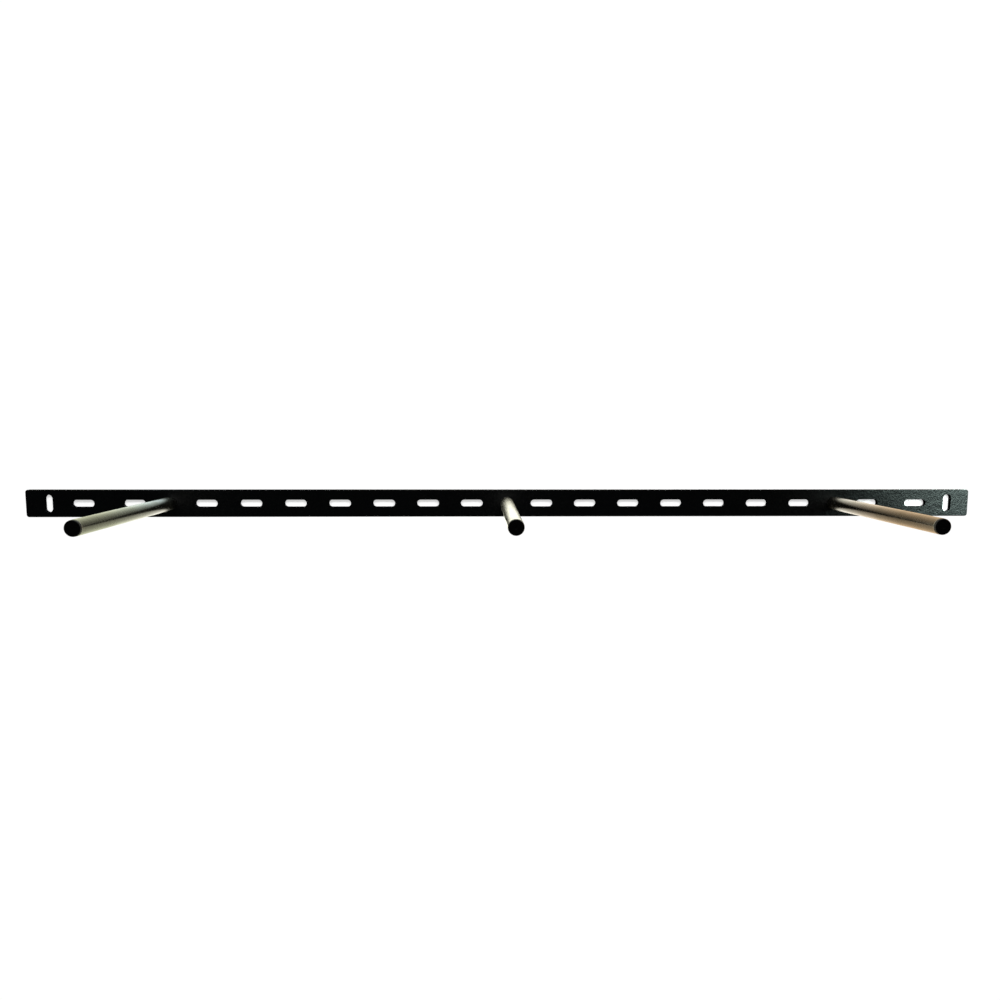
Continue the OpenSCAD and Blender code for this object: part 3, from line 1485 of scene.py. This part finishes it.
    def _glow(self, sketch: Sketch, x: Socket, z: Socket) -> Socket:
        """The painted glow that lights the rack and that its metal mirrors.

        With d the distance from the nearer outer peg and i the part of d that leads towards
        the middle of the bar, i / d is 1 on the peg's near side and -1 on its far side. The
        glow is a ramp over i / d, times one over d, plus one over the distance from the
        centre peg, times one over the height above or below the bar.

        Args:
            sketch: the sketch of the wall's material.
            x: the place along the bar.
            z: the height above the bar's axis.

        Returns:
            The shader.
        """
        # painted light and painted reflection: the glow's strength is laid out by its place on the
        # wall
        aside, height = sketch.math("ABSOLUTE", x), sketch.math("ABSOLUTE", z)
        below = sketch.math("LESS_THAN", z, 0.0)
        inward = sketch.math("SUBTRACT", self.peg_x, aside)
        squares = [sketch.times(side, side) for side in (inward, height)]
        distance = sketch.math("SQRT", sketch.math("ADD", *squares))
        turn = sketch.math("DIVIDE", inward, distance)
        turn = sketch.math("MULTIPLY_ADD", below, self.lower_turn, turn)
        outer = sketch.remap(turn, *self.outer_turn, *self.outer_glow, way="LINEAR")
        outer = sketch.times(outer, self.near.over(sketch, distance))
        middle = self.middle.over(sketch, aside)
        lower = sketch.math("MULTIPLY_ADD", below, self.lower_share - 1.0, 1.0)
        inner = sketch.times(middle, lower, self.low.over(sketch, height))
        power = sketch.math("MULTIPLY_ADD", inner, self.middle_glow, outer)

        # painted shadow: the glow fades out in a strip along the bar's top and bottom edges
        above_bar = sketch.remap(z, self.bar_z, self.bar_z + self.shadow[0])
        below_bar = sketch.remap(z, -self.bar_z - self.shadow[1], -self.bar_z, 1.0, 0.0)
        lit = sketch.math("ADD", above_bar, below_bar)
        top = self.upper_end.over(sketch, z)
        bottom = self.lower_end.over(sketch, sketch.times(z, -1.0))
        power = sketch.times(power, lit, top, bottom)

        # painted reflection colours: the glow's tint is laid out by its place on the wall
        side = sketch.remap(x, -self.peg_x, self.peg_x)
        away = sketch.remap(distance, self.near.start, self.near.end)
        near = sketch.blend(below, sketch.blend(side, *self.near_tints), self.lower_tint)
        tint = sketch.blend(away, near, sketch.blend(side, *self.far_tints))
        tint = sketch.blend(middle, tint, self.middle_tint)
        return sketch.node("Emission", {"Color": tint, "Strength": power}).outputs[0]


@dataclass
class Studio:
    """Camera, soft lights, a plain pale floor and the white wall.

    Attributes:
        eye: where the camera stands.
        pitch: how far it looks up; yaw and roll are to the right.
        lens: its focal length, in millimetres like its sensor.
        reach: how far the floor runs to each side.
        floor_white: how brightly the camera sees the floor.
        floor_matt: the floor's colour to the rack.
        room: colour of the dim room that lights the rack from everywhere.
    """

    eye: Triple = (-0.0348, -0.8273, 0.0886)
    pitch: float = -0.1029
    yaw: float = 0.0326
    roll: float = 0.00267
    lens: float = 26.0
    sensor: float = 36.0
    floor_z: float = -1.3
    reach: float = 6.0
    floor_white: float = 0.84
    floor_colour: Colour = (0.98, 0.98, 0.97, 1.0)
    floor_matt: Colour = (0.25, 0.26, 0.28, 1.0)
    room: Colour = (0.014, 0.015, 0.017, 1.0)
    wall: Wall = field(default_factory=Wall)
    boxes: tuple[SoftBox, ...] = (
        SoftBox("top_box", (0.0, -0.2, 1.1), (0.0, -0.1, 0.0), (2.0, 0.6), 5.0, COOL),
        SoftBox("key_box", (0.0, -1.2, 0.8), ORIGIN, (1.6, 0.4), 16.0, only=("wall",)),
        SoftBox(
            "right_box", (0.69, -0.15, 0.09), (0.69, 0.0, 0.0), (0.3, 0.2), 1.2, GREENISH,
            spread=1.9,
        ),
        SoftBox("rear_box", (0.5, 1.4, 0.8), ORIGIN, (1.2, 1.2), 25.0),
        SoftBox("tube_box", (0.0, -2.5, 0.9), ORIGIN, (3.0, 1.6), 20.0, only=TUBES),
    )

    def build(self) -> None:
        """Builds all but the lights, which wait for the pieces that they light."""
        self._camera()
        self._room()
        self.wall.build(self.floor_z)
        self._floor()
        bpy.context.scene.view_settings.view_transform = "Standard"

    def light(self) -> None:
        """Adds the lights."""
        for box in self.boxes:
            box.build()

    def _camera(self) -> None:
        """Adds the camera, level but for its small pitch, yaw and roll."""
        data = bpy.data.cameras.new("camera")
        data.lens = self.lens
        data.sensor_width = self.sensor
        camera = show("camera", data)
        camera.location = self.eye
        camera.rotation_euler = Euler((math.pi / 2 + self.pitch, -self.roll, -self.yaw))
        bpy.context.scene.camera = camera

    def _room(self) -> None:
        """White where the camera looks past everything, and a dim room for all other rays."""
        world = bpy.data.worlds.new("room")
        world.use_nodes = True
        world.node_tree.nodes.clear()
        sketch = Sketch(world.node_tree)
        seen = sketch.node("LightPath").outputs["Is Camera Ray"]
        colour = sketch.blend(seen, self.room, WHITE)
        shader = sketch.node("Background", {"Color": colour})
        sketch.node("OutputWorld", {"Surface": shader.outputs[0]})
        bpy.context.scene.world = world

    def _floor(self) -> None:
        """A plain floor, well below the rack: pale to the camera, and dim to all other rays."""
        corners = np.array([[-1, -1, 0], [1, -1, 0], [1, 1, 0], [-1, 1, 0]]) * self.reach
        corners[:, 2] = self.floor_z
        material = bare_material("pale_floor")
        sketch = Sketch(material.node_tree)
        seen = sketch.node("LightPath").outputs["Is Camera Ray"]
        plain = sketch.node("Emission", {"Color": self.floor_colour, "Strength": self.floor_white})
        matt = sketch.node("BsdfDiffuse", {"Color": self.floor_matt})
        shader = sketch.mix(seen, matt.outputs[0], plain.outputs[0])
        sketch.node("OutputMaterial", {"Surface": shader})
        stage_plane("floor", corners, material)


def main() -> None:
    """Loads the frame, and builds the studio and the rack."""
    logging.basicConfig(level=logging.INFO, format="%(message)s")
    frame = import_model()
    studio = Studio()
    studio.build()
    Rack(frame["record"]).build()
    studio.light()


if __name__ == "__main__":
    main()
